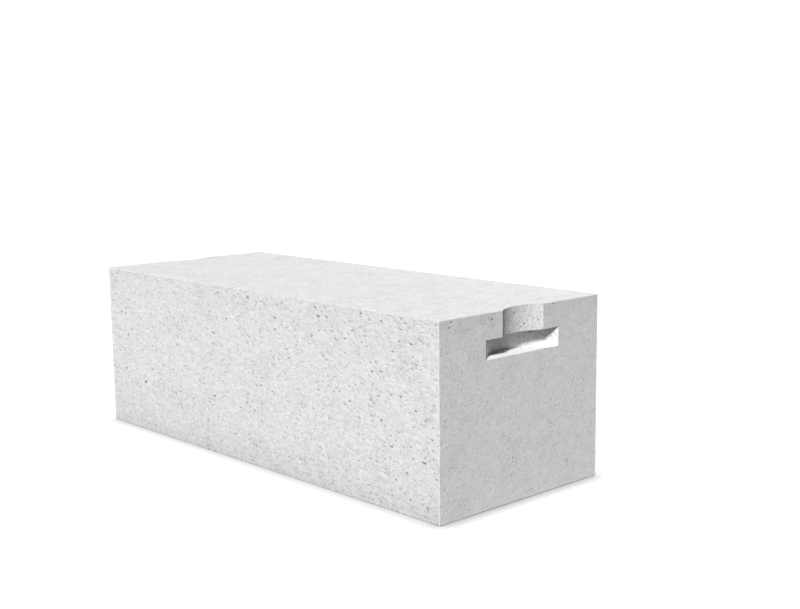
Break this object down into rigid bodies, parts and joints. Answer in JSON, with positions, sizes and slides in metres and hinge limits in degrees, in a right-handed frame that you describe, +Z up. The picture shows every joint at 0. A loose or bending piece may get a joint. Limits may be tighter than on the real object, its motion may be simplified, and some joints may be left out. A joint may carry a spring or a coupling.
{
  "type": "aerated concrete block",
  "caption": "Rectangular wire-cut aerated concrete wall block with crisp edges and a milled T-shaped grip pocket, a finger slot under a knuckle notch, in each end face.",
  "frame": {"origin": "centre of the bed face that the block rests on", "axes": "+X along the length, out of one grip end; +Y across the width; +Z up, with the grip notches open to the top face"},
  "size_m": [0.6, 0.24, 0.2],
  "materials": {
    "aerated_concrete": "matt, wire-cut and finely pitted"
  },
  "bodies": {
    "root": {"block": "aerated_concrete"}
  },
  "joints": []
}
